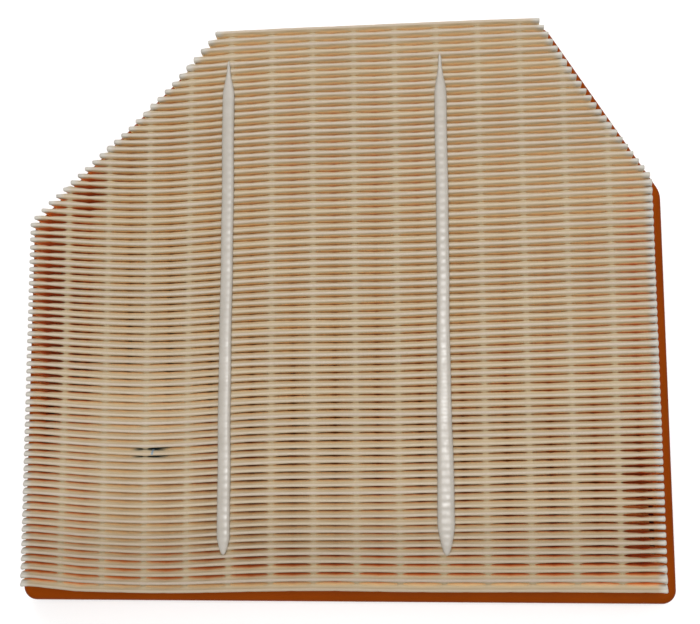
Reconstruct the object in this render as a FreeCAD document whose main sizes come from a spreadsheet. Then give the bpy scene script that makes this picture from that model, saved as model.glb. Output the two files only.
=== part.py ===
import FreeCAD, Part
import math
import os
import Sketcher
from FreeCAD import Placement, Rotation, Vector

# Panel air filter element: a pleated paper pack moulded into a soft polyurethane frame.
# The frame's flat underside is the sealing face and stands on Z = 0. The pleats run along X,
# their tips point up, and the two cut corners are at the rear (+Y). The origin is the middle
# of the overall rectangle, on the sealing face. All sizes are in millimetres.

SIZES = {
    # the element as a whole
    "overall_width": 240.0,
    "overall_length": 216.5,
    "tip_height": 33.0,
    # corner cuts of the pleat pack, measured along X (width) and along Y (length)
    "left_cut_width": 69.4,
    "left_cut_length": 69.8,
    "right_cut_width": 38.2,
    "right_cut_length": 61.3,
    # moulded frame
    "flange_width": 7.3,
    "frame_height": 12.0,
    "ledge_width": 6.0,
    "ledge_thickness": 3.0,
    "front_corner_radius": 5.0,
    "other_corner_radius": 9.0,
    "top_edge_radius": 2.5,
    "bottom_edge_radius": 1.0,
    # folded paper
    "pleat_count": 75.0,
    "first_tip_inset": 0.9,
    "paper_thickness": 0.36,
    "fold_radius": 0.6,
    # glue that closes both open ends of every pleat
    "end_glue_depth": 3.0,
    # glue beads laid across the folds
    "left_bead_place": -39.2,
    "right_bead_place": 38.6,
    "bead_width": 4.5,
    "wide_bead_width": 6.2,
    "bead_end_width": 1.8,
    "bead_rise": 1.5,
    "bead_key": 0.3,
    "bead_edge_radius": 0.7,
    "bead_rear_inset": 10.9,
    "bead_front_inset": 11.9,
    "bead_rear_taper": 15.0,
    "bead_front_taper": 9.0,
}

# The separate pieces, by name
SUB_PARTS = [
    "seal_frame",
    "pleated_media",
    "bead_left",
    "bead_right",
    "underside_bead_left",
    "underside_bead_right",
    "end_seal_left",
    "end_seal_left_diagonal",
    "end_seal_right",
    "end_seal_right_diagonal",
]

# Expressions that several features share
PACK_WIDTH = "(Sizes.overall_width - 2 * Sizes.flange_width)"
PACK_LENGTH = "(Sizes.overall_length - 2 * Sizes.flange_width)"

# How far a cutting or trimming solid runs past what it trims
OVERRUN = 20.0

# How far an edge may stray and still count as upright or level
EDGE_TOLERANCE = 0.01


def make_sheet(doc):
    """The driving dimensions, one named cell each."""
    sheet = doc.addObject("Spreadsheet::Sheet", "Sizes")
    for row, (name, value) in enumerate(SIZES.items(), start=1):
        sheet.set(f"A{row}", name)
        sheet.set(f"B{row}", str(value))
        sheet.setAlias(f"B{row}", name)
    doc.recompute()
    return sheet


# ---------------------------------------------------------------------------------------------
# Sketches and pads
# ---------------------------------------------------------------------------------------------


def new_body(doc, name):
    body = doc.addObject("PartDesign::Body", name)
    body.Label = name
    return body


def level_sketch(body, name, height):
    """A sketch parallel to the body's own XY plane, at the given height."""
    base_plane = next(plane for plane in body.Origin.OriginFeatures if plane.Role == "XY_Plane")
    sketch = body.newObject("Sketcher::SketchObject", name)
    sketch.AttachmentSupport = [(base_plane, "")]
    sketch.MapMode = "FlatFace"
    sketch.setExpression("AttachmentOffset.Base.z", height)
    return sketch


def draw_outline(sketch, corners):
    """Straight lines round the corners, each tied to the origin by its X and Y expressions."""
    points = [Vector(sketch.evalExpression(x), sketch.evalExpression(y), 0) for x, y in corners]
    count = len(points)
    for side in range(count):
        sketch.addGeometry(Part.LineSegment(points[side], points[(side + 1) % count]), False)
    for side in range(count):
        sketch.addConstraint(Sketcher.Constraint("Coincident", side, 2, (side + 1) % count, 1))
    for corner, (x, y) in enumerate(corners):
        tie_to_origin(sketch, corner, "DistanceX", points[corner].x, x)
        tie_to_origin(sketch, corner, "DistanceY", points[corner].y, y)


def tie_to_origin(sketch, corner, kind, distance, expression):
    index = sketch.addConstraint(Sketcher.Constraint(kind, -1, 1, corner, 1, distance))
    name = f"corner_{corner}_{kind}"
    sketch.renameConstraint(index, name)
    sketch.setExpression(f"Constraints.{name}", expression)


def grown_cut(leg, other_leg, margin):
    """One leg of a corner cut after the whole outline has grown outwards by a margin."""
    return f"({leg} + {margin} * (1 - (sqrt({leg} ^ 2 + {other_leg} ^ 2) - {leg}) / {other_leg}))"


def pack_outline(body, name, height, margin="0"):
    """The six-sided outline of the pleat pack, grown outwards by a margin expression."""
    side = f"({PACK_WIDTH} / 2 + {margin})"
    end = f"({PACK_LENGTH} / 2 + {margin})"
    left_across = grown_cut("Sizes.left_cut_width", "Sizes.left_cut_length", margin)
    left_along = grown_cut("Sizes.left_cut_length", "Sizes.left_cut_width", margin)
    right_across = grown_cut("Sizes.right_cut_width", "Sizes.right_cut_length", margin)
    right_along = grown_cut("Sizes.right_cut_length", "Sizes.right_cut_width", margin)
    sketch = level_sketch(body, name, height)
    draw_outline(
        sketch,
        [
            (f"-{side}", f"-{end}"),
            (side, f"-{end}"),
            (side, f"{end} - {right_along}"),
            (f"{side} - {right_across}", end),
            (f"-{side} + {left_across}", end),
            (f"-{side}", f"{end} - {left_along}"),
        ],
    )
    return sketch


def add_pad(body, sketch, name, length, downwards=False):
    pad = body.newObject("PartDesign::Pad", name)
    pad.Profile = sketch
    pad.setExpression("Length", length)
    pad.Reversed = downwards
    sketch.Document.recompute()
    return pad


def add_upward_pocket(body, sketch, name):
    """Cuts everything above the sketch, and makes sure that something was cut."""
    volume_before = body.Shape.Volume
    pocket = body.newObject("PartDesign::Pocket", name)
    pocket.Profile = sketch
    pocket.Type = "ThroughAll"
    pocket.Reversed = True
    sketch.Document.recompute()
    if body.Shape.Volume >= volume_before:
        raise RuntimeError(f"{name} removed nothing")
    return pocket


def add_fillet(body, name, base, radius, is_wanted):
    """Rounds every edge of the base feature that is_wanted accepts."""
    edges = [f"Edge{i}" for i, edge in enumerate(base.Shape.Edges, start=1) if is_wanted(edge)]
    fillet = body.newObject("PartDesign::Fillet", name)
    fillet.Base = (base, edges)
    fillet.setExpression("Radius", radius)
    base.Document.recompute()
    return fillet


def is_upright(edge):
    return max(edge.BoundBox.XLength, edge.BoundBox.YLength) < EDGE_TOLERANCE


def lies_level_at(edge, height):
    box = edge.BoundBox
    return max(abs(box.ZMin - height), abs(box.ZMax - height)) < EDGE_TOLERANCE


# ---------------------------------------------------------------------------------------------
# Moulded frame
# ---------------------------------------------------------------------------------------------


def make_seal_frame(doc, sheet):
    """A soft ring: a rounded flange, a recess that holds the pack, and a ledge under its edge."""
    body = new_body(doc, "seal_frame")
    outline = pack_outline(body, "flange_outline", "0", "Sizes.flange_width")
    ring = add_pad(body, outline, "flange_block", "Sizes.frame_height")

    corners = add_fillet(
        body,
        "front_corners",
        ring,
        "Sizes.front_corner_radius",
        lambda edge: is_upright(edge) and edge.BoundBox.YMin < 0,
    )
    corners = add_fillet(
        body,
        "other_corners",
        corners,
        "Sizes.other_corner_radius",
        lambda edge: is_upright(edge) and edge.BoundBox.YMin > 0,
    )
    rim = add_fillet(
        body,
        "top_edge",
        corners,
        "Sizes.top_edge_radius",
        lambda edge: lies_level_at(edge, sheet.frame_height),
    )
    add_fillet(
        body,
        "bottom_edge",
        rim,
        "Sizes.bottom_edge_radius",
        lambda edge: lies_level_at(edge, 0),
    )

    recess = pack_outline(body, "pack_recess_outline", "Sizes.ledge_thickness")
    add_upward_pocket(body, recess, "pack_recess")
    window = pack_outline(body, "clean_air_window_outline", "0", "(-Sizes.ledge_width)")
    add_upward_pocket(body, window, "clean_air_window")
    return body


# ---------------------------------------------------------------------------------------------
# Folded paper
# ---------------------------------------------------------------------------------------------


class Folds:
    """Where the folds lie in the YZ plane, and how the plies run tangent from fold to fold."""

    def __init__(self, sheet):
        pack_length = sheet.overall_length - 2 * sheet.flange_width
        self.count = int(sheet.pleat_count)
        self.half_thickness = sheet.paper_thickness / 2
        self.radius = sheet.fold_radius
        outer_radius = self.radius + self.half_thickness
        self.first_tip = -pack_length / 2 + sheet.first_tip_inset
        self.pitch = (pack_length - 2 * sheet.first_tip_inset) / (self.count - 1)
        self.tip_level = sheet.tip_height - outer_radius
        self.root_level = sheet.ledge_thickness + outer_radius
        # A ply touches both of its folds' circles and crosses between them
        drop = self.tip_level - self.root_level
        centre_distance = math.hypot(self.pitch / 2, drop)
        slope = math.atan2(-drop, self.pitch / 2)
        normal_angle = slope + math.acos(2 * self.radius / centre_distance)
        self.normal_y = math.cos(normal_angle)
        self.normal_z = math.sin(normal_angle)

    def on_tip(self, pleat, side, offset):
        """Where a ply leaves a pleat's tip: side is 1 to the rear, -1 to the front, 0 on top."""
        reach = self.radius + offset
        across = side * self.normal_y
        up = self.normal_z if side else 1.0
        centre_y = self.first_tip + pleat * self.pitch
        return Vector(0, centre_y + reach * across, self.tip_level + reach * up)

    def on_root(self, pleat, side, offset):
        """The same for the lower fold between a pleat and the one behind it."""
        reach = self.radius - offset
        across = side * self.normal_y
        down = self.normal_z if side else 1.0
        centre_y = self.first_tip + (pleat + 0.5) * self.pitch
        return Vector(0, centre_y + reach * across, self.root_level - reach * down)

    def sheet_side(self, offset):
        """The edges of one side of the sheet, from the front end to the rear end."""
        edges = []
        for pleat in range(self.count):
            tip = [self.on_tip(pleat, side, offset) for side in (-1, 0, 1)]
            foot = self.on_root(pleat - 1, 1, offset)
            edges.append(Part.makeLine(foot, tip[0]))
            edges.append(Part.Arc(*tip).toShape())
            root = [self.on_root(pleat, side, offset) for side in (-1, 0, 1)]
            edges.append(Part.makeLine(tip[2], root[0]))
            if pleat < self.count - 1:
                edges.append(Part.Arc(*root).toShape())
        return edges

    def sheet_section(self):
        """The cut face of the folded sheet, with its upper and lower sides and its two ends."""
        upper = self.sheet_side(self.half_thickness)
        lower = self.sheet_side(-self.half_thickness)
        front_end = Part.makeLine(lower[0].firstVertex().Point, upper[0].firstVertex().Point)
        rear_end = Part.makeLine(upper[-1].lastVertex().Point, lower[-1].lastVertex().Point)
        return Part.Face(Part.Wire(Part.__sortEdges__(upper + [rear_end] + lower + [front_end])))

    def hollow_section(self, pleat):
        """The space between the two plies of one pleat, from its lower folds up to its tip."""
        offset = -self.half_thickness
        foot = self.on_root(pleat - 1, 1, offset)
        tip = [self.on_tip(pleat, side, offset) for side in (-1, 0, 1)]
        heel = self.on_root(pleat, -1, offset)
        edges = [
            Part.makeLine(foot, tip[0]),
            Part.Arc(*tip).toShape(),
            Part.makeLine(tip[2], heel),
            Part.makeLine(heel, foot),
        ]
        return Part.Face(Part.Wire(edges))


def run_across(doc, sheet, name, sections):
    """Extrudes sections in the YZ plane over the whole width of the pack."""
    pack_width = sheet.overall_width - 2 * sheet.flange_width
    solids = [section.extrude(Vector(pack_width, 0, 0)) for section in sections]
    feature = doc.addObject("Part::Feature", name)
    feature.Shape = solids[0] if len(solids) == 1 else Part.makeCompound(solids)
    feature.Placement = Placement(Vector(-pack_width / 2, 0, 0), Rotation())
    return feature


def make_pack_block(doc, name, shift="0"):
    """A solid with the pack's outline, higher than the pack, moved along X by shift."""
    body = new_body(doc, name)
    outline = pack_outline(body, f"{name}_outline", "0")
    add_pad(body, outline, f"{name}_pad", f"Sizes.tip_height + {OVERRUN}")
    body.setExpression("Placement.Base.x", shift)
    return body


def boolean(doc, kind, name, base, tool):
    result = doc.addObject(f"Part::{kind}", name)
    result.Label = name
    result.Base = base
    result.Tool = tool
    return result


def make_media(doc, sheet, folds, pack_block):
    """One long sheet of filter paper, folded to and fro and trimmed to the pack's outline."""
    folded = run_across(doc, sheet, "untrimmed_folds", [folds.sheet_section()])
    return boolean(doc, "Common", "pleated_media", folded, pack_block)


# ---------------------------------------------------------------------------------------------
# Glue in the pleat ends
# ---------------------------------------------------------------------------------------------


def make_zone(doc, name, rearwards, corner):
    """A box over everything on one side of a level across the pack, used to part the glue."""
    zone = doc.addObject("Part::Box", name)
    zone.setExpression("Length", "Sizes.overall_width + 2 * Sizes.end_glue_depth")
    zone.setExpression("Width", "Sizes.overall_length")
    zone.setExpression("Height", f"Sizes.tip_height + {OVERRUN}")
    zone.setExpression("Placement.Base.x", "-Sizes.overall_width / 2 - Sizes.end_glue_depth")
    zone.setExpression("Placement.Base.y", corner if rearwards else f"{corner} - Sizes.overall_length")
    return zone


def make_end_seals(doc, sheet, folds, pack_block):
    """Glue between the two plies at both ends of each pleat, one group for each side edge."""
    hollows = run_across(
        doc, sheet, "pleat_hollows", [folds.hollow_section(pleat) for pleat in range(folds.count)]
    )
    for side, shift in (("left", "Sizes.end_glue_depth"), ("right", "-Sizes.end_glue_depth")):
        middle = make_pack_block(doc, f"inside_of_{side}_glue", shift)
        margin = boolean(doc, "Cut", f"{side}_glue_margin", pack_block, middle)
        glue = boolean(doc, "Common", f"{side}_glue", hollows, margin)
        corner = f"{PACK_LENGTH} / 2 - Sizes.{side}_cut_length"
        straight = make_zone(doc, f"{side}_straight_zone", False, corner)
        diagonal = make_zone(doc, f"{side}_diagonal_zone", True, corner)
        boolean(doc, "Common", f"end_seal_{side}", glue, straight)
        boolean(doc, "Common", f"end_seal_{side}_diagonal", glue, diagonal)


# ---------------------------------------------------------------------------------------------
# Beads across the folds
# ---------------------------------------------------------------------------------------------


def bead_outline(body, name, height, place, front_width):
    """A long strip, drawn out to a blunt tail at the rear and to a blunt point at the front."""
    rear = f"({PACK_LENGTH} / 2 - Sizes.bead_rear_inset)"
    front = f"(-{PACK_LENGTH} / 2 + Sizes.bead_front_inset)"
    stations = [
        (rear, "Sizes.bead_end_width"),
        (f"{rear} - Sizes.bead_rear_taper", "Sizes.bead_width"),
        (f"{front} + Sizes.bead_front_taper", front_width),
        (front, "Sizes.bead_end_width"),
    ]
    left = [(f"{place} - {width} / 2", along) for along, width in stations]
    right = [(f"{place} + {width} / 2", along) for along, width in stations]
    sketch = level_sketch(body, name, height)
    draw_outline(sketch, left + right[::-1])
    return sketch


def make_bead(doc, media, name, place, front_width, on_top):
    """A bead of set glue, keyed a little way between the folds and rounded on its outer edge."""
    body = new_body(doc, f"{name}_strip")
    if on_top:
        inner_level = "Sizes.tip_height - Sizes.bead_key"
    else:
        inner_level = "Sizes.ledge_thickness + Sizes.bead_key"
    outline = bead_outline(body, f"{name}_outline", inner_level, place, front_width)
    strip = add_pad(body, outline, f"{name}_pad", "Sizes.bead_rise + Sizes.bead_key", not on_top)
    outer_level = strip.Shape.BoundBox.ZMax if on_top else strip.Shape.BoundBox.ZMin
    add_fillet(
        body,
        f"{name}_rounding",
        strip,
        "Sizes.bead_edge_radius",
        lambda edge: lies_level_at(edge, outer_level),
    )
    return boolean(doc, "Cut", name, body, media)


def make_beads(doc, media):
    """Two beads over the tips and two under the lower folds, in line with each other."""
    left, right = "Sizes.left_bead_place", "Sizes.right_bead_place"
    make_bead(doc, media, "bead_left", left, "Sizes.bead_width", True)
    make_bead(doc, media, "bead_right", right, "Sizes.wide_bead_width", True)
    make_bead(doc, media, "underside_bead_left", left, "Sizes.bead_width", False)
    make_bead(doc, media, "underside_bead_right", right, "Sizes.bead_width", False)


# ---------------------------------------------------------------------------------------------
# The whole element
# ---------------------------------------------------------------------------------------------


def check_document(doc):
    """Stops if any object of the document has failed."""
    failed = [item.Label for item in doc.Objects if {"Invalid", "Error"} & set(item.State)]
    if failed:
        raise RuntimeError(f"these objects failed: {failed}")


def write_sub_parts(doc):
    """Writes one STEP file for each sub-part, once every shape is known to be good."""
    shapes = {label: doc.getObjectsByLabel(label)[0].Shape for label in SUB_PARTS}
    for label, shape in shapes.items():
        if shape.isNull() or not shape.isValid() or not shape.Solids:
            raise RuntimeError(f"{label} is not a good solid")
    os.makedirs("parts", exist_ok=True)
    for label, shape in shapes.items():
        shape.exportStep(f"parts/{label}.step")
        box = shape.BoundBox
        print(
            f"{label}: {len(shape.Solids)} solid(s), {shape.Volume / 1000:.2f} cm3, "
            f"{box.XLength:.1f} x {box.YLength:.1f} x {box.ZLength:.1f} mm, "
            f"Z {box.ZMin:.2f} to {box.ZMax:.2f}"
        )


def main():
    doc = FreeCAD.newDocument("air_filter")
    sheet = make_sheet(doc)
    make_seal_frame(doc, sheet)
    folds = Folds(sheet)
    pack_block = make_pack_block(doc, "pack_block")
    media = make_media(doc, sheet, folds, pack_block)
    make_end_seals(doc, sheet, folds, pack_block)
    make_beads(doc, media)
    doc.recompute()
    check_document(doc)
    write_sub_parts(doc)


main()
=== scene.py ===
"""A pleated panel air filter in its moulded frame: detailed meshes and materials over the CAD frame.

The paper is one folded sheet, built from a formula for the path that it follows, with the
embossed spacers, the lean of the tips and the pinched pleat ends worked into its surface.
Lengths are in metres. X runs along the pleats, Y to the rear, Z up.
"""

import math

import bpy
import numpy as np
from mathutils import Matrix, Vector


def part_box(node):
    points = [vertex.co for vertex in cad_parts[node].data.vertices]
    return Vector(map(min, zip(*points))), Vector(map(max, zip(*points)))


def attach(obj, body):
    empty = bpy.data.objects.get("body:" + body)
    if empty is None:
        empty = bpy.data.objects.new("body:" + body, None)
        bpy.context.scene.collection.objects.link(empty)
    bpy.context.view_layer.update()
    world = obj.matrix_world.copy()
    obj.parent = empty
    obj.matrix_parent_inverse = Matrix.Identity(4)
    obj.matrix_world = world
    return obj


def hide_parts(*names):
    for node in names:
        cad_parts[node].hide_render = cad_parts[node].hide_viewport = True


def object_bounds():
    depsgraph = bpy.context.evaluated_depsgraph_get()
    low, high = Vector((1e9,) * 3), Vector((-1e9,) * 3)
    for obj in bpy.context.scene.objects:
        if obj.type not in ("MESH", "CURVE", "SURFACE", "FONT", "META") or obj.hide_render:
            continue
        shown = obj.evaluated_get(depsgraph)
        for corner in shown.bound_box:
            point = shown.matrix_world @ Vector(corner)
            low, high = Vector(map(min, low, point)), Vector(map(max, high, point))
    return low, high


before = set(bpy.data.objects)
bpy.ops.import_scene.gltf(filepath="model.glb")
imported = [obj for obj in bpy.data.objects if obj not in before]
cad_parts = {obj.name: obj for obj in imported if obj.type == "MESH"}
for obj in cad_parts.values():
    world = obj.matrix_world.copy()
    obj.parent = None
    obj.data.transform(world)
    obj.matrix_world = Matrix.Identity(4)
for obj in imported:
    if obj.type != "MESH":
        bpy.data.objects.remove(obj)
cad_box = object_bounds()

MM = 0.001
rng = np.random.RandomState(7)

# ---------------------------------------------------------------------------------------------
# Places taken from the CAD frame
# ---------------------------------------------------------------------------------------------

pack_low, pack_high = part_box("pleated_media")
tip_level = pack_high.z
root_level = pack_low.z


def read_outline():
    """The Y of the two shoulders and the X of the two rear corners, from the recess's walls."""
    close = 0.05 * MM
    walls = [vertex.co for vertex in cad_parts["seal_frame"].data.vertices]
    left_shoulder = max(point.y for point in walls if abs(point.x - pack_low.x) < close)
    right_shoulder = max(point.y for point in walls if abs(point.x - pack_high.x) < close)
    rear = [point.x for point in walls if abs(point.y - pack_high.y) < close]
    return left_shoulder, right_shoulder, min(rear), max(rear)


left_shoulder, right_shoulder, rear_left, rear_right = read_outline()


def left_edge(y):
    """The X of the pack's left edge, which slants inwards behind the left shoulder."""
    return np.interp(y, [left_shoulder, pack_high.y], [pack_low.x, rear_left])


def right_edge(y):
    return np.interp(y, [right_shoulder, pack_high.y], [pack_high.x, rear_right])


# ---------------------------------------------------------------------------------------------
# Where the pleats stand and how they lean
# ---------------------------------------------------------------------------------------------

PLEATS = 75
FIRST_TIP_INSET = 0.9 * MM

# Below this depth the pleats stand upright and even, and above it they lean.
LEAN_DEPTH = 26 * MM
LEAN_FOOT = tip_level - LEAN_DEPTH

# The feet stand evenly. Row 0 and the last row are stand-ins, one pitch past each end.
PITCH = (pack_high.y - pack_low.y - 2 * FIRST_TIP_INSET) / (PLEATS - 1)
FEET = pack_low.y + FIRST_TIP_INSET + PITCH * (np.arange(PLEATS + 2) - 1)

# Small differences from pleat to pleat
TIP_SHIFT = rng.uniform(-0.1, 0.1, PLEATS + 2) * MM
WAVE_PHASE = rng.uniform(0, 2 * math.pi, PLEATS + 2)
WAVE_LENGTH = rng.uniform(60, 110, PLEATS + 2) * MM
TIP_DROP = rng.uniform(0, 0.2, PLEATS + 2) * MM


def hump(value, middle, width):
    return np.exp(-(((value - middle) / width) ** 2))


def fade(distance, reach):
    return np.exp(-distance / reach)


def smooth_step(value, start, end):
    share = np.clip((value - start) / (end - start), 0, 1)
    return share * share * (3 - 2 * share)


def band(value, start, full, last, end):
    """0 up to start, 1 from full to last, and 0 again from end."""
    return smooth_step(value, start, full) * (1 - smooth_step(value, last, end))


def lean(row, x):
    """How far a tip stands behind its foot.

    The tips sag forwards over the pack's left third, come back at its left end and stand back
    towards its right end. Near the front and rear they fan out, with an extra lift at the rear
    left. A slow wave runs from front to rear on both sides, and a few pleats before the middle
    sag together. The terms are in millimetres.
    """
    from_front = np.clip(row - 1, 0, PLEATS - 1)
    from_rear = PLEATS - 1 - from_front
    column = x / MM
    sag = -2.45 * hump(column, -67, 32) * (1 - 0.65 * fade(from_front, 2.5))
    rise = 0.0225 * np.clip(column - 20, 0, None)
    rise = rise * (1 - 0.75 * fade(from_front, 6)) * (1 - 1.2 * fade(from_rear, 3))
    left_end = (0.45 + 1.05 * fade(from_front, 3)) * np.clip((-92 - column) / 17, 0, 1)
    fan = 0.85 * hump(from_front, 4.2, 3) - 0.83 * fade(from_front, 0.9) + 0.9 * fade(from_rear, 2.5)
    lift = 0.75 * fade(from_rear, 3) * np.clip((-26 - column) / 22, 0, 1)
    drift = 0.6 * from_front / (PLEATS - 1)
    slow_wave = 0.3 * np.cos(2 * math.pi * (from_front - 33) / 21) * np.clip(np.abs(column) / 60, 0, 1)
    soft_spot = -0.45 * hump(from_front, 31, 4) * hump(column, 5, 50)
    ripple = 0.08 * np.sin(2 * math.pi * x / WAVE_LENGTH[row] + WAVE_PHASE[row])
    total = sag + rise + left_end + fan + lift + drift + slow_wave + soft_spot + ripple
    return total * MM + TIP_SHIFT[row]


def middle_plane(row, x, z):
    """The Y of a pleat's middle plane."""
    height = np.clip((z - LEAN_FOOT) / LEAN_DEPTH, 0, 1)
    return FEET[row] + lean(row, x) * height**1.1


# ---------------------------------------------------------------------------------------------
# The paper's surface
# ---------------------------------------------------------------------------------------------

PAPER = 0.36 * MM
TIP_RADIUS = 0.4 * MM
ROOT_RADIUS = 0.6 * MM

# What a ply keeps clear of its pleat's middle plane, and of the line where its neighbour begins
CLEARANCE = 0.02 * MM

# Columns of spacers, the first one measured from the pack's left edge
SPACER_PITCH = 15.11 * MM
FIRST_SPACER = 14.1 * MM

# Depths below the tips: over which a pleat swells, from which it starts to settle, and where the
# spacers and the dimples start, are full, start to fade and end
SWELL_REACH = 1.9 * MM
SETTLE_DEPTH = 12 * MM
SPACER_DEPTHS = (-0.3 * MM, 1.0 * MM, 10 * MM, 20 * MM)
DIMPLE_DEPTHS = (-0.5 * MM, 1.2 * MM, 14 * MM, 26 * MM)

# At a pleat's end: how far the tips stand back on the right slant, half the distance between
# the glued plies, and how far the tip dips
RIGHT_SETBACK = 1.0 * MM
GLUED_OFFSET = 0.58 * MM
END_DROP = 0.35 * MM


def pleat_end(y, side, z):
    """The X where a pleat ends. The tips stand back a little from the right edge's slant."""
    if side < 0:
        return left_edge(y)
    along = np.clip((y - right_shoulder) / (pack_high.y - right_shoulder), 0, 1)
    bow = 4 * along * (1 - along)
    near_tip = smooth_step(z, LEAN_FOOT, tip_level - SETTLE_DEPTH)
    return right_edge(y) - RIGHT_SETBACK * bow * near_tip


def from_spacer(x):
    """The distance along X to the nearest column of spacers."""
    beyond = (x - pack_low.x - FIRST_SPACER) % SPACER_PITCH
    return np.minimum(beyond, SPACER_PITCH - beyond)


def spacer_reach(x):
    """1 on the columns where neighbouring pleats touch, falling away on both sides."""
    past_flat = np.clip(from_spacer(x) - 0.55 * MM, 0, None)
    return 0.62 * fade(past_flat, 0.8 * MM) + 0.38 * fade(past_flat, 3.6 * MM)


def dimple_reach(x):
    """1 half-way between those columns, where the plies are pressed inwards."""
    from_middle = SPACER_PITCH / 2 - from_spacer(x)
    return np.clip(1 - from_middle / (2.1 * MM), 0, 1)


def openness(border, x):
    """1 where the gap between two pleats stands open, 0 where the pleats lie against each other.

    border numbers the gaps: 1.5 is the gap between the first and second pleats. The open ones
    are at the left end of the middle pleats and at the right end of the front ones.
    """
    y = FEET[0] + border * PITCH
    from_front = border / PLEATS
    from_left = x - left_edge(y)
    from_right = right_edge(y) - x
    near_left = band(from_front, 0.16, 0.42, 0.7, 0.8) * (1 - smooth_step(from_left, 11 * MM, 22 * MM))
    near_left = near_left * (0.72 + 0.28 * smooth_step(from_left, 8 * MM, 18 * MM))
    near_right = smooth_step(border, 2.8, 4.2) * (1 - smooth_step(from_front, 0.1, 0.32))
    near_right = 0.6 * near_right * (1 - smooth_step(from_right, 11 * MM, 20 * MM))
    return np.maximum(near_left, near_right)


def parted_share(row, side, x, wide_open):
    """The empty share of the gap beside a ply. The front pleats are slacker, most on the left."""
    slack = 0.42 * hump(x / MM, -52, 44) * (1 - smooth_step(row / PLEATS, 0.13, 0.32))
    near_front = 0.3 * fade(np.clip(row, 1, None), 8) * smooth_step(row + side / 2, 1.5, 2.5)
    uneven = 0.02 * np.sin(3.4 * math.pi * x / WAVE_LENGTH[row] + 2 * WAVE_PHASE[row])
    return 0.035 + slack + 0.425 * wide_open + near_front + uneven


def ply_offset(row, side, x, z, from_end):
    """How far a ply's mid-surface stands from its pleat's middle plane.

    Below its tip each pleat swells, mostly on its rear side, and towards its foot it evens out.
    Where the gaps stand open on the left, both plies also bend to the rear below the tip.
    """
    neighbour = row + side
    outermost = (neighbour < 1) | (neighbour > PLEATS)
    half_gap = np.abs(middle_plane(neighbour, x, z) - middle_plane(row, x, z)) / 2
    half_gap = np.where(outermost, FIRST_TIP_INSET, half_gap)
    wide_open = np.where(outermost, 1, openness(row + side / 2, x))
    gap = np.where(outermost, 0.32, parted_share(row, side, x, wide_open))

    # the plain pleat, from its tip to its foot
    depth = tip_level - PAPER / 2 - TIP_RADIUS - z
    below = 1 - fade(np.clip(depth, 0, None), SWELL_REACH)
    settled = smooth_step(depth, SETTLE_DEPTH, LEAN_DEPTH)
    drape = side * 0.39 * (1 - wide_open)
    shoulder = half_gap * (1 + drape - gap) - PAPER / 2
    swell = TIP_RADIUS + (shoulder - TIP_RADIUS) * below
    foot = half_gap - np.where(outermost, gap * half_gap + PAPER / 2, ROOT_RADIUS)
    offset = swell + (foot - swell) * smooth_step(depth, 9 * MM, 27 * MM)

    # spacers out to the neighbour, and dimples inwards
    furthest = half_gap * (1 + drape * below * (1 - settled)) - PAPER / 2 - CLEARANCE
    raised = np.where(outermost, 0, spacer_reach(x) * band(depth, *SPACER_DEPTHS))
    offset = offset + (furthest - offset) * raised
    pressed = dimple_reach(x) * band(depth, *DIMPLE_DEPTHS)
    offset = offset - (0.13 + 0.21 * wide_open) * MM * pressed

    # pinched on to the glue at the pleat's ends, most where the gap is open
    glued_offset = GLUED_OFFSET - 0.1 * MM * (1 - smooth_step(from_end, 0, 0.35 * MM))
    pinch = (0.15 + 0.85 * wide_open) * (1 - smooth_step(from_end, 0.1 * MM, 2.6 * MM))
    offset = offset + (glued_offset - offset) * pinch
    bend = np.where(outermost | (x > 0), 0, 0.5 * MM) * wide_open * below * (1 - settled)
    return np.clip(offset, PAPER / 2 + CLEARANCE, furthest) + side * bend


# How finely the path is divided: depths on a flank, and steps round a tip and a root
FLANK_DEPTHS = np.array([0, 0.4, 0.9, 1.6, 2.6, 4.5, 9.0, 15.0]) * MM
TIP_STEPS = 5
ROOT_STEPS = 4
PER_FLANK = len(FLANK_DEPTHS) + 1
PER_PLEAT = 2 * PER_FLANK + TIP_STEPS - 1 + ROOT_STEPS - 1

# The sheet is built as this many meshes, so that none of them is too large to export whole.
MEDIA_PIECES = 9


def path_stations():
    """Every point of the path across the pleats: its row, side, height, and angle on a fold.

    A flank point has no angle. On a tip or a root, the angle is from the fold's middle.
    """
    tip_base = tip_level - PAPER / 2 - TIP_RADIUS
    root_base = root_level + PAPER / 2 + ROOT_RADIUS
    flank = np.append(tip_base - FLANK_DEPTHS, root_base)
    stations = []
    for row in range(1, PLEATS + 1):
        stations += [(row, -1, z, None) for z in flank[::-1]]
        for step in range(1, TIP_STEPS):
            angle = math.pi * (step / TIP_STEPS - 0.5)
            stations.append((row, 1 if angle >= 0 else -1, tip_base, angle))
        stations += [(row, 1, z, None) for z in flank]
        if row == PLEATS:
            break
        for step in range(1, ROOT_STEPS):
            angle = math.pi * (step / ROOT_STEPS - 0.5)
            nearer, side = (row, 1) if angle <= 0 else (row + 1, -1)
            stations.append((nearer, side, root_base, angle))
    return stations


def spacer_samples():
    """X values across the pack, closest together where the embossing changes fastest."""
    beside = np.array([0.6, 1.3, 2.7, 5.3, 6.5]) * MM
    around = np.concatenate([[-SPACER_PITCH / 2], -beside, [0], beside])
    count = math.ceil((pack_high.x - pack_low.x) / SPACER_PITCH)
    columns = pack_low.x + FIRST_SPACER + SPACER_PITCH * np.arange(-1, count)
    inner = (columns[:, None] + around[None, :]).ravel()
    ends = np.array([0, 0.25, 0.7, 1.6, 3.0]) * MM
    samples = np.concatenate([inner, pack_low.x + ends, pack_high.x - ends])
    samples = np.unique(np.round(samples, 7))
    return samples[(samples >= pack_low.x) & (samples <= pack_high.x)]


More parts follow.
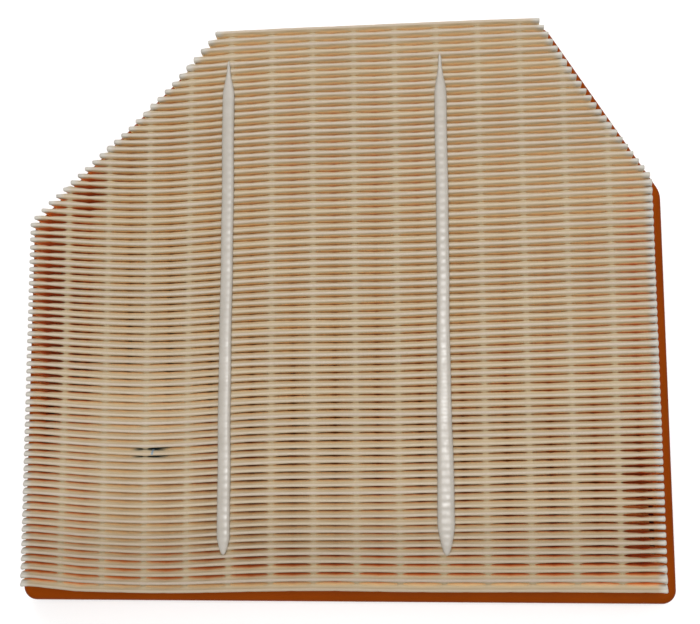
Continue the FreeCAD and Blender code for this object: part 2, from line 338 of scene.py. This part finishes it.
def round_folds(stations, rows, offset, x, y, z):
    """Move each fold's points from the end of a flank onto the fold's arc."""
    for index, (row, side, height, angle) in enumerate(stations):
        if angle is None:
            continue
        here = middle_plane(rows[index], x[index], z[index])
        if height > LEAN_FOOT:
            y[index] = here + offset[index] * math.sin(angle)
            z[index] += TIP_RADIUS * math.cos(angle)
        else:
            there = middle_plane(rows[index] + side, x[index], z[index])
            half_gap = np.abs(there - here) / 2
            y[index] = (here + there) / 2 + (half_gap - offset[index]) * math.sin(angle)
            z[index] -= ROOT_RADIUS * math.cos(angle)


def sheet_surface():
    """The sheet's mid-surface as arrays over (path point, sample)."""
    stations = path_stations()
    rows = np.array([station[0] for station in stations])[:, None]
    sides = np.array([station[1] for station in stations])[:, None]
    heights = np.array([station[2] for station in stations])[:, None]
    deep = smooth_step(tip_level - heights, SETTLE_DEPTH, LEAN_DEPTH)
    plain_y = FEET[rows] + sides * ROOT_RADIUS * deep
    low, high = pleat_end(plain_y, -1, heights), pleat_end(plain_y, 1, heights)
    x = np.clip(spacer_samples()[None, :], low, high)
    from_end = np.minimum(x - low, high - x)
    rows = np.broadcast_to(rows, x.shape)
    sides = np.broadcast_to(sides, x.shape)
    z = np.broadcast_to(heights, x.shape).copy()
    offset = ply_offset(rows, sides, x, z, from_end)
    y = middle_plane(rows, x, z) + sides * offset
    round_folds(stations, rows, offset, x, y, z)
    drop = TIP_DROP[rows] + END_DROP * (1 - smooth_step(from_end, 0, 0.8 * MM))
    z = z - drop * smooth_step(z, tip_level - 4 * MM, tip_level)
    return x, y, z, from_end


def closed_sheet(x, y, z):
    """Both sides of the sheet, half its thickness either way along the path's normal."""
    along_y = np.gradient(y, axis=0)
    along_z = np.gradient(z, axis=0)
    length = np.hypot(along_y, along_z)
    normal_y = -along_z / length
    normal_z = along_y / length
    half = PAPER / 2
    upper = np.stack([x, y + half * normal_y, z + half * normal_z], axis=-1)
    lower = np.stack([x, y - half * normal_y, z - half * normal_z], axis=-1)
    return upper, lower


def quads(grid):
    """The four corners of every cell of a grid of indices."""
    cells = [grid[:-1, :-1], grid[:-1, 1:], grid[1:, 1:], grid[1:, :-1]]
    return np.stack([cell.ravel() for cell in cells], axis=1)


def merged_grid(x):
    """Indices for a grid whose clipped samples share one point at each end of a row."""
    columns = np.arange(x.shape[1])[None, :]
    last_low = (x <= x[:, :1]).sum(axis=1, keepdims=True) - 1
    first_high = x.shape[1] - (x >= x[:, -1:]).sum(axis=1, keepdims=True)
    columns = np.clip(columns, last_low, first_high)
    return np.arange(x.shape[0])[:, None] * x.shape[1] + columns


def mesh_object(name, points, faces):
    """A smooth-shaded mesh from points and faces, without unused points or collapsed faces."""
    whole = []
    for face in faces:
        corners = list(dict.fromkeys(int(index) for index in face))
        if len(corners) > 2:
            whole.append(corners)
    used = np.unique(np.concatenate([np.array(face) for face in whole]))
    renumber = np.full(len(points), -1)
    renumber[used] = np.arange(len(used))
    mesh = bpy.data.meshes.new(name)
    mesh.from_pydata(points[used].tolist(), [], [renumber[face].tolist() for face in whole])
    mesh.update()
    mesh.shade_smooth()
    piece = bpy.data.objects.new(name, mesh)
    bpy.context.scene.collection.objects.link(piece)
    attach(piece, "root")
    return piece, used


def add_values(piece, name, values):
    attribute = piece.data.attributes.new(name, "FLOAT", "POINT")
    attribute.data.foreach_set("value", values.astype(np.float32))


def fold_depths(upper, lower):
    """How deep in a fold each point of both faces lies, for the painted light and shade in the paper's
    colour.

    The outer flanks of the first and last pleats stand in the open, so they count as shallow.
    """
    upper_depth = np.clip(tip_level - upper[..., 2], 0, None)
    lower_depth = np.clip(lower[..., 2] - root_level, 0, None)
    for outer_flank in (upper_depth[:PER_FLANK], upper_depth[-PER_FLANK:]):
        np.minimum(outer_flank, 1.2 * MM, out=outer_flank)
    return upper_depth, lower_depth


def sheet_faces(over, under):
    """Both faces of a piece of the sheet and its four edges."""
    return np.concatenate(
        [
            quads(over),
            quads(under)[:, ::-1],
            quads(np.stack([under[:, 0], over[:, 0]], axis=1)),
            quads(np.stack([over[:, -1], under[:, -1]], axis=1)),
            quads(np.stack([under[0], over[0]])),
            quads(np.stack([over[-1], under[-1]])),
        ]
    )


def build_media():
    """The folded paper, in a few pieces that meet at the bottoms of folds."""
    x, y, z, from_end = sheet_surface()
    upper, lower = closed_sheet(x, y, z)
    upper_depth, lower_depth = fold_depths(upper, lower)
    fold_middle = PER_PLEAT - ROOT_STEPS // 2
    pieces = []
    for number, group in enumerate(np.array_split(np.arange(PLEATS), MEDIA_PIECES), start=1):
        start = 0 if group[0] == 0 else (group[0] - 1) * PER_PLEAT + fold_middle
        end = len(x) if group[-1] == PLEATS - 1 else group[-1] * PER_PLEAT + fold_middle + 1
        part = slice(start, end)
        points = np.concatenate([upper[part].reshape(-1, 3), lower[part].reshape(-1, 3)])
        over = merged_grid(x[part])
        faces = sheet_faces(over, over + x[part].size)
        piece, used = mesh_object(f"paper_pleats_{number}", points, faces)
        depth = np.concatenate([upper_depth[part].ravel(), lower_depth[part].ravel()])
        add_values(piece, "from_end", np.tile(from_end[part].ravel(), 2)[used])
        add_values(piece, "depth", depth[used])
        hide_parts("pleated_media")
        pieces.append(piece)
    return pieces


# ---------------------------------------------------------------------------------------------
# Glue in the pleats' ends
# ---------------------------------------------------------------------------------------------

GLUE_LENGTH = 3 * MM
GLUE_HEIGHTS = 9
GLUE_ACROSS = 5


def end_glue_ring(row, side, z):
    """One level of the glue in a pleat's end: across its hollow outer face, and back inside."""
    across = np.linspace(-1, 1, GLUE_ACROSS)
    edge = pleat_end(FEET[row], side, z)
    inner_x = edge - side * GLUE_LENGTH
    middle = middle_plane(row, np.array([edge, inner_x]), z)
    widths = []
    for x, from_end in ((edge, 0.0), (inner_x, GLUE_LENGTH)):
        front, rear = (ply_offset(row, ply, x, z, from_end) - PAPER / 2 for ply in (-1, 1))
        widths.append((front + rear) / 2 * across + (rear - front) / 2)
    hollow = (0.25 + 0.55 * (1 - across**2)) * MM
    outer = np.stack([edge - side * hollow, middle[0] + widths[0], 0 * across + z], axis=1)
    inner = np.stack([0 * across + inner_x, middle[1] + widths[1][::-1], 0 * across + z], axis=1)
    return np.concatenate([outer, inner])


def build_end_glue(name, side, nodes):
    """Glue between the two plies at one end of every pleat."""
    glue_top = tip_level - PAPER - TIP_RADIUS
    heights = np.linspace(root_level + 1.5 * MM, glue_top, GLUE_HEIGHTS)
    ring_size = 2 * GLUE_ACROSS
    points = []
    faces = []
    for row in range(1, PLEATS + 1):
        grid = len(points) * ring_size + np.arange(GLUE_HEIGHTS * ring_size)
        grid = grid.reshape(GLUE_HEIGHTS, ring_size)
        points += [end_glue_ring(row, side, z) for z in heights]
        walls = quads(np.concatenate([grid, grid[:, :1]], axis=1))
        caps = [grid[0].tolist(), grid[-1][::-1].tolist()]
        if side > 0:
            walls = walls[:, ::-1]
            caps = [cap[::-1] for cap in caps]
        faces += list(walls) + caps
    piece, _ = mesh_object(name, np.concatenate(points), faces)
    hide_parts(*nodes)
    return piece


# ---------------------------------------------------------------------------------------------
# Glue beads
# ---------------------------------------------------------------------------------------------

BEAD_HALF_WIDTH = 2.25 * MM
BEAD_RISE = 1.35 * MM
BEAD_STATIONS = 400


def between_tips(x, y):
    """0 on a tip and 1 half-way between two tips, for points across the pack."""
    rows = np.arange(PLEATS + 2)
    tips = middle_plane(rows, np.full(len(rows), x), tip_level)
    return (1 - np.cos(2 * math.pi * np.interp(y, tips, rows))) / 2


def between_feet(y):
    """The same for the lower folds, which stand half-way between the feet."""
    return (1 + np.cos(2 * math.pi * (y - FEET[0]) / PITCH)) / 2


def bead_section():
    """Points round a bead: X and Z as shares of its size, and 1 for those that sink into folds."""
    angles = np.linspace(0, math.pi, 15)
    top_x = np.sign(np.cos(angles)) * np.abs(np.cos(angles)) ** 0.62
    top_z = np.abs(np.sin(angles)) ** 0.75
    floor_x = np.array([-0.9, -0.45, 0.0, 0.45, 0.9])
    across = np.concatenate([top_x, floor_x])
    up = np.concatenate([top_z, 0 * floor_x])
    sunk = np.concatenate([0 * top_x, 0 * floor_x + 1])
    return across, up, sunk


def build_bead(name, node, slant, wide_front, tail, point, below=False):
    """A strand of set glue across the folds: flat-topped, thin along its tail at the rear.

    slant is how far it drifts in X from front to rear, wide_front is what it gains on each side
    towards the front, and tail and point are the lengths of its two ends.
    """
    low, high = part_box(node)
    place = (low.x + high.x) / 2
    stations = np.linspace(low.y, high.y, BEAD_STATIONS)
    from_rear = high.y - stations
    from_front = stations - low.y
    rear_width = 0.28 + 0.72 * smooth_step(from_rear, 0.2 * tail, tail)
    rear_width *= np.sqrt(np.clip(from_rear / (2.5 * MM), 0, 1))
    front_width = np.sqrt(np.clip(from_front / point, 0, 1))
    plain = BEAD_HALF_WIDTH + wide_front * (1 - smooth_step(from_front, 4 * MM, 95 * MM))
    between = between_feet(stations) if below else between_tips(place, stations)
    half_width = plain * rear_width * front_width * (1 - 0.03 * between)
    height = BEAD_RISE * np.minimum(rear_width, front_width) ** 0.5 * (1 - 0.06 * between)
    sink = (0.18 + 0.42 * between) * MM
    middle = place + slant * (from_front / (high.y - low.y) - 0.5)
    middle += 0.12 * MM * np.sin(stations / (17 * MM)) + 0.06 * MM * np.sin(stations / (5.3 * MM))

    across, up, sunk = bead_section()
    x = middle[:, None] + half_width[:, None] * across
    y = np.broadcast_to(stations[:, None], x.shape)
    rise = height[:, None] * up - sink[:, None] * sunk
    z = root_level - rise if below else tip_level + rise
    grid = np.arange(x.size).reshape(x.shape)
    faces = quads(np.concatenate([grid, grid[:, :1]], axis=1))
    caps = [grid[0].tolist(), grid[-1][::-1].tolist()]
    if below:
        caps = [cap[::-1] for cap in caps]
    else:
        faces = faces[:, ::-1]
    points = np.stack([x, y, z], axis=-1).reshape(-1, 3)
    piece, _ = mesh_object(name, points, list(faces) + caps)
    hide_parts(node)
    return piece


# ---------------------------------------------------------------------------------------------
# Materials
# ---------------------------------------------------------------------------------------------


class Shader:
    """A material's node tree, with short calls for the nodes that the materials here share."""

    def __init__(self, name):
        self.material = bpy.data.materials.new(name)
        self.material.use_nodes = True
        self.tree = self.material.node_tree
        self.surface = self.tree.nodes["Principled BSDF"]
        self.place = self.tree.nodes.new("ShaderNodeTexCoord").outputs["Object"]

    def put(self, value, socket):
        """Join another node's output to a socket, or set the socket's own constant."""
        if hasattr(value, "is_output"):
            self.tree.links.new(value, socket)
        else:
            socket.default_value = value

    def set(self, name, value):
        self.put(value, self.surface.inputs[name])

    def node(self, kind, inputs=None, **settings):
        made = self.tree.nodes.new(kind)
        for key, value in settings.items():
            setattr(made, key, value)
        for key, value in (inputs or {}).items():
            self.put(value, made.inputs[key])
        return made

    def noise(self, scale, detail=4.0, stretch=None, roughness=0.55):
        place = self.place
        if stretch:
            place = self.node("ShaderNodeMapping", {"Vector": place, "Scale": stretch}).outputs[0]
        return self.node(
            "ShaderNodeTexNoise",
            {"Vector": place, "Scale": scale, "Detail": detail, "Roughness": roughness},
        ).outputs["Fac"]

    def between(self, value, low, high, start=0.0, end=1.0):
        """value, from low to high, turned into a number from start to end."""
        return self.node(
            "ShaderNodeMapRange",
            {"Value": value, "From Min": low, "From Max": high, "To Min": start, "To Max": end},
            interpolation_type="SMOOTHSTEP",
        ).outputs[0]

    def near(self, value, middle, reach, soft):
        """1 where value is within reach of middle, fading to 0 over the soft distance beyond."""
        away = self.calculate("ABSOLUTE", self.calculate("SUBTRACT", value, middle))
        return self.between(away, reach + soft, reach)

    def calculate(self, operation, *values):
        return self.node("ShaderNodeMath", dict(enumerate(values)), operation=operation).outputs[0]

    def product(self, first, second):
        return self.calculate("MULTIPLY", first, second)

    def mix(self, share, first, second):
        mixer = self.node("ShaderNodeMix", data_type="RGBA")
        for socket, value in (("Factor", share), ("A", first), ("B", second)):
            target = [entry for entry in mixer.inputs if entry.name == socket and entry.enabled][0]
            self.put(value, target)
        return [entry for entry in mixer.outputs if entry.enabled][0]

    def mottle(self, pattern, first, second):
        """Two colours mixed softly by a noise pattern."""
        return self.mix(self.between(pattern, 0.35, 0.65), first, second)

    def bump(self, heights, distance):
        """Bumps from several height sockets, each with its own strength."""
        normal = None
        for height, strength in heights:
            inputs = {"Height": height, "Strength": strength, "Distance": distance}
            if normal is not None:
                inputs["Normal"] = normal
            normal = self.node("ShaderNodeBump", inputs).outputs[0]
        self.set("Normal", normal)


def rgb(red, green, blue):
    return (red, green, blue, 1.0)


def fold_shade(shader, from_left, from_right, from_front):
    """How early the painted orange shade starts down a fold: earlier near the edges and in soft
    patches.
    """
    patch = shader.noise(16, 2)
    left = shader.between(from_left, 36.7 * MM, 10.7 * MM)
    right = shader.between(from_right, 24.7 * MM, 0.7 * MM, 0.0, 0.4)
    right_front = shader.product(
        shader.between(from_right, 24.7 * MM, 12.7 * MM),
        shader.between(from_front, 66 * MM, 36 * MM),
    )
    front = shader.between(from_front, 21 * MM, 4 * MM, 0.0, 0.8)
    first_gap = shader.between(from_front, 3.35 * MM, 2.35 * MM, 0.0, 0.9)
    shade = shader.calculate("SUBTRACT", front, first_gap)
    for side in (left, right, right_front):
        shade = shader.calculate("MAXIMUM", shade, side)
    return shader.calculate("ADD", shade, shader.between(patch, 0.35, 0.7, -0.25, 0.35))


def stained(shader, colour, from_left, from_front, depth):
    """A small dark stain in two gaps at the left, and a pale fleck between them."""
    spot_left = 45.7 * MM
    spot_front = 47.75 * MM
    spot = shader.product(
        shader.near(from_left, spot_left, 2.5 * MM, 5 * MM),
        shader.near(from_front, spot_front, 1.6 * MM, 1 * MM),
    )
    spot = shader.product(spot, shader.between(depth, 0.6 * MM, 2.2 * MM))
    fleck = shader.product(
        shader.near(from_left, spot_left + 1.4 * MM, 0.2 * MM, 0.3 * MM),
        shader.near(from_front, spot_front, 0.8 * MM, 0.4 * MM),
    )
    colour = shader.mix(spot, colour, rgb(0.02, 0.028, 0.026))
    return shader.mix(fleck, colour, rgb(0.22, 0.29, 0.34))


def paper_material():
    """Resin-treated filter paper, cream where it is exposed. Down the folds its colour carries painted
    light and shade: a tan painted shade below the tips, a gold painted glow deeper, and an orange
    painted shade deepest.
    """
    shader = Shader("filter_paper")
    axes = shader.node("ShaderNodeSeparateXYZ", {"Vector": shader.place})
    from_left = shader.calculate("SUBTRACT", axes.outputs[0], pack_low.x)
    from_right = shader.calculate("SUBTRACT", pack_high.x, axes.outputs[0])
    from_front = shader.calculate("SUBTRACT", axes.outputs[1], pack_low.y)
    depth = shader.node("ShaderNodeAttribute", attribute_name="depth").outputs["Fac"]
    from_end = shader.node("ShaderNodeAttribute", attribute_name="from_end").outputs["Fac"]
    fibres = shader.noise(900, 6, stretch=(1.0, 2.2, 2.2))
    cloud = shader.noise(38, 3)

    tan_painted_shade = rgb(0.47, 0.378, 0.25)
    gold_painted_glow = rgb(0.86, 0.70, 0.44)
    ember_painted_shade = rgb(0.84, 0.38, 0.10)
    cream = shader.mottle(cloud, rgb(0.485, 0.41, 0.335), rgb(0.45, 0.375, 0.305))
    cream = shader.mix(shader.between(fibres, 0.3, 0.7, 0.0, 0.35), cream, rgb(0.41, 0.335, 0.25))
    # Just below the tips the paper turns tan: painted shade on the shoulders of the folds.
    colour = shader.mix(shader.between(depth, 0.03 * MM, 0.42 * MM), cream, tan_painted_shade)
    # The paper is painted a little darker towards the front rows.
    front_darkening = shader.between(from_front, 39 * MM, 5 * MM, 0.0, 0.2)
    colour = shader.mix(front_darkening, colour, rgb(0.12, 0.07, 0.035))
    # Further down it turns bright gold: a painted glow in place of light let through and bounced about
    # in the folds.
    colour = shader.mix(shader.between(depth, 0.6 * MM, 2.6 * MM), colour, gold_painted_glow)
    shade = fold_shade(shader, from_left, from_right, from_front)
    sunk = shader.product(depth, shader.calculate("MULTIPLY_ADD", shade, 1.7, 1.0))
    # Deepest it turns orange: painted shade down the folds, starting sooner where fold_shade is high.
    colour = shader.mix(shader.between(sunk, 4 * MM, 12 * MM), colour, ember_painted_shade)

    glued = shader.product(
        shader.between(from_end, 3.8 * MM, 1.0 * MM), shader.between(depth, 4.0 * MM, 1.5 * MM)
    )
    colour = shader.mix(glued, colour, rgb(0.50, 0.47, 0.415))
    shader.set("Base Color", stained(shader, colour, from_left, from_front, depth))
    shader.set("Roughness", shader.between(fibres, 0.3, 0.7, 0.78, 0.95))
    shader.set("Specular IOR Level", 0.2)
    shader.bump([(fibres, 0.35), (shader.noise(220, 3), 0.25)], 0.12 * MM)
    return shader.material


def foam_material():
    """Moulded polyurethane: an orange-brown skin with fine pores and faint flow marks."""
    shader = Shader("frame_foam")
    flow = shader.noise(22, 4, stretch=(1.0, 1.0, 3.0))
    pores = shader.noise(1500, 2)
    cells = shader.node("ShaderNodeTexVoronoi", {"Vector": shader.place, "Scale": 420.0})
    pits = shader.between(cells.outputs["Distance"], 0.10, 0.0)
    colour = shader.mottle(flow, rgb(0.23, 0.041, 0.0015), rgb(0.205, 0.035, 0.001))
    # The pits are also painted darker: painted shade in the pores.
    colour = shader.mix(shader.product(pits, 0.5), colour, rgb(0.11, 0.018, 0.002))
    shader.set("Base Color", colour)
    shader.set("Roughness", shader.between(pores, 0.3, 0.7, 0.42, 0.6))
    shader.set("Specular IOR Level", 0.02)
    shader.bump([(flow, 0.2), (pores, 0.25), (pits, -0.5)], 0.15 * MM)
    return shader.material


def glue_material():
    """Set hot-melt glue: milky, faintly glossy, a little uneven."""
    shader = Shader("white_glue")
    cloud = shader.noise(160, 3)
    ripple = shader.noise(330, 3, stretch=(2.0, 1.0, 1.0))
    shader.set("Base Color", shader.mottle(cloud, rgb(0.40, 0.367, 0.322), rgb(0.37, 0.337, 0.292)))
    shader.set("Roughness", shader.between(ripple, 0.3, 0.7, 0.3, 0.42))
    shader.set("Subsurface Weight", 0.15)
    shader.set("Subsurface Radius", (0.6, 0.5, 0.4))
    shader.set("Subsurface Scale", 0.8 * MM)
    shader.bump([(ripple, 0.3)], 0.1 * MM)
    return shader.material


def end_glue_material():
    """The thinner glue between the plies: greyish and duller."""
    shader = Shader("end_glue")
    cloud = shader.noise(400, 3)
    shader.set("Base Color", shader.mottle(cloud, rgb(0.52, 0.49, 0.43), rgb(0.44, 0.405, 0.35)))
    shader.set("Roughness", shader.between(cloud, 0.3, 0.7, 0.4, 0.6))
    shader.bump([(cloud, 0.3)], 0.1 * MM)
    return shader.material


def floor_material():
    shader = Shader("studio_floor")
    mottled = shader.mix(shader.noise(3, 2), rgb(0.965, 0.965, 0.965), rgb(0.98, 0.98, 0.98))
    shader.set("Base Color", mottled)
    shader.set("Roughness", 0.8)
    return shader.material


def give(piece, material):
    piece.data.materials.clear()
    piece.data.materials.append(material)


# ---------------------------------------------------------------------------------------------
# Assembly
# ---------------------------------------------------------------------------------------------


def build_filter():
    paper = paper_material()
    glue = glue_material()
    end_glue = end_glue_material()
    foam = foam_material()
    for piece in build_media():
        give(piece, paper)
    beads = [
        build_bead(
            "left_bead", "bead_left",
            slant=1.0 * MM, wide_front=0.1 * MM, tail=14 * MM, point=6 * MM,
        ),
        build_bead(
            "right_bead", "bead_right",
            slant=0.6 * MM, wide_front=0.85 * MM, tail=16 * MM, point=10 * MM,
        ),
        build_bead(
            "left_bead_below", "underside_bead_left",
            slant=0.5 * MM, wide_front=0.1 * MM, tail=12 * MM, point=8 * MM, below=True,
        ),
        build_bead(
            "right_bead_below", "underside_bead_right",
            slant=-0.4 * MM, wide_front=0.2 * MM, tail=12 * MM, point=8 * MM, below=True,
        ),
    ]
    for piece in beads:
        give(piece, glue)
    end_strips = [
        build_end_glue("left_end_glue", -1, ("end_seal_left", "end_seal_left_diagonal")),
        build_end_glue("right_end_glue", 1, ("end_seal_right", "end_seal_right_diagonal")),
    ]
    for piece in end_strips:
        give(piece, end_glue)
    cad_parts["seal_frame"].material_slots[0].material = foam


def build_stage():
    """A pale floor, a small overhead light, soft lights at the front, rear and right, weak fill."""
    bpy.ops.mesh.primitive_plane_add(size=3, location=(0, 0, cad_box[0][2]))
    floor = bpy.context.object
    floor.name = "studio_floor"
    give(floor, floor_material())
    for name, place, size, power in (
        ("overhead_light", (0.05, 0.0, 0.9), 0.24, 5.2),
        ("front_light", (0.0, -0.55, 0.55), 0.5, 1.0),
        ("rear_light", (0.0, 0.55, 0.55), 0.5, 2.0),
        ("right_light", (0.75, 0.1, 0.7), 0.5, 0.8),
    ):
        light = bpy.data.lights.new(name, "AREA")
        light.energy = power
        light.shape = "DISK"
        light.size = size
        lamp = bpy.data.objects.new(name, light)
        lamp.location = place
        lamp.rotation_euler = (-Vector(place)).to_track_quat("-Z", "Y").to_euler()
        bpy.context.scene.collection.objects.link(lamp)
    world = bpy.data.worlds.new("studio")
    world.use_nodes = True
    world.node_tree.nodes["Background"].inputs["Color"].default_value = (1, 1, 1, 1)
    world.node_tree.nodes["Background"].inputs["Strength"].default_value = 0.28
    bpy.context.scene.world = world
    bpy.context.scene.view_settings.view_transform = "Standard"
    bpy.context.scene.cycles.max_bounces = 24
    bpy.context.scene.cycles.diffuse_bounces = 20


def build_camera():
    """Almost straight above, a little to the right of the middle and in front of it.

    A positive roll turns the camera anticlockwise.
    """
    eye = Vector((36.6, -47.1, 0)) * MM + Vector((0, 0, tip_level + 371.1 * MM))
    target = Vector((5.5, -4.1, 0)) * MM + Vector((0, 0, tip_level))
    roll = math.radians(-0.33)
    back = (eye - target).normalized()
    right = Vector((0, 1, 0)).cross(back).normalized()
    up = back.cross(right)
    turned_right = right * math.cos(roll) + up * math.sin(roll)
    turned_up = back.cross(turned_right)
    data = bpy.data.cameras.new("camera")
    data.lens = 54.19
    data.sensor_width = 36
    data.clip_start = 0.01
    camera = bpy.data.objects.new("camera", data)
    rotation = Matrix((turned_right, turned_up, back)).transposed().to_4x4()
    camera.matrix_world = Matrix.Translation(eye) @ rotation
    bpy.context.scene.collection.objects.link(camera)
    bpy.context.scene.camera = camera


build_filter()
build_stage()
build_camera()
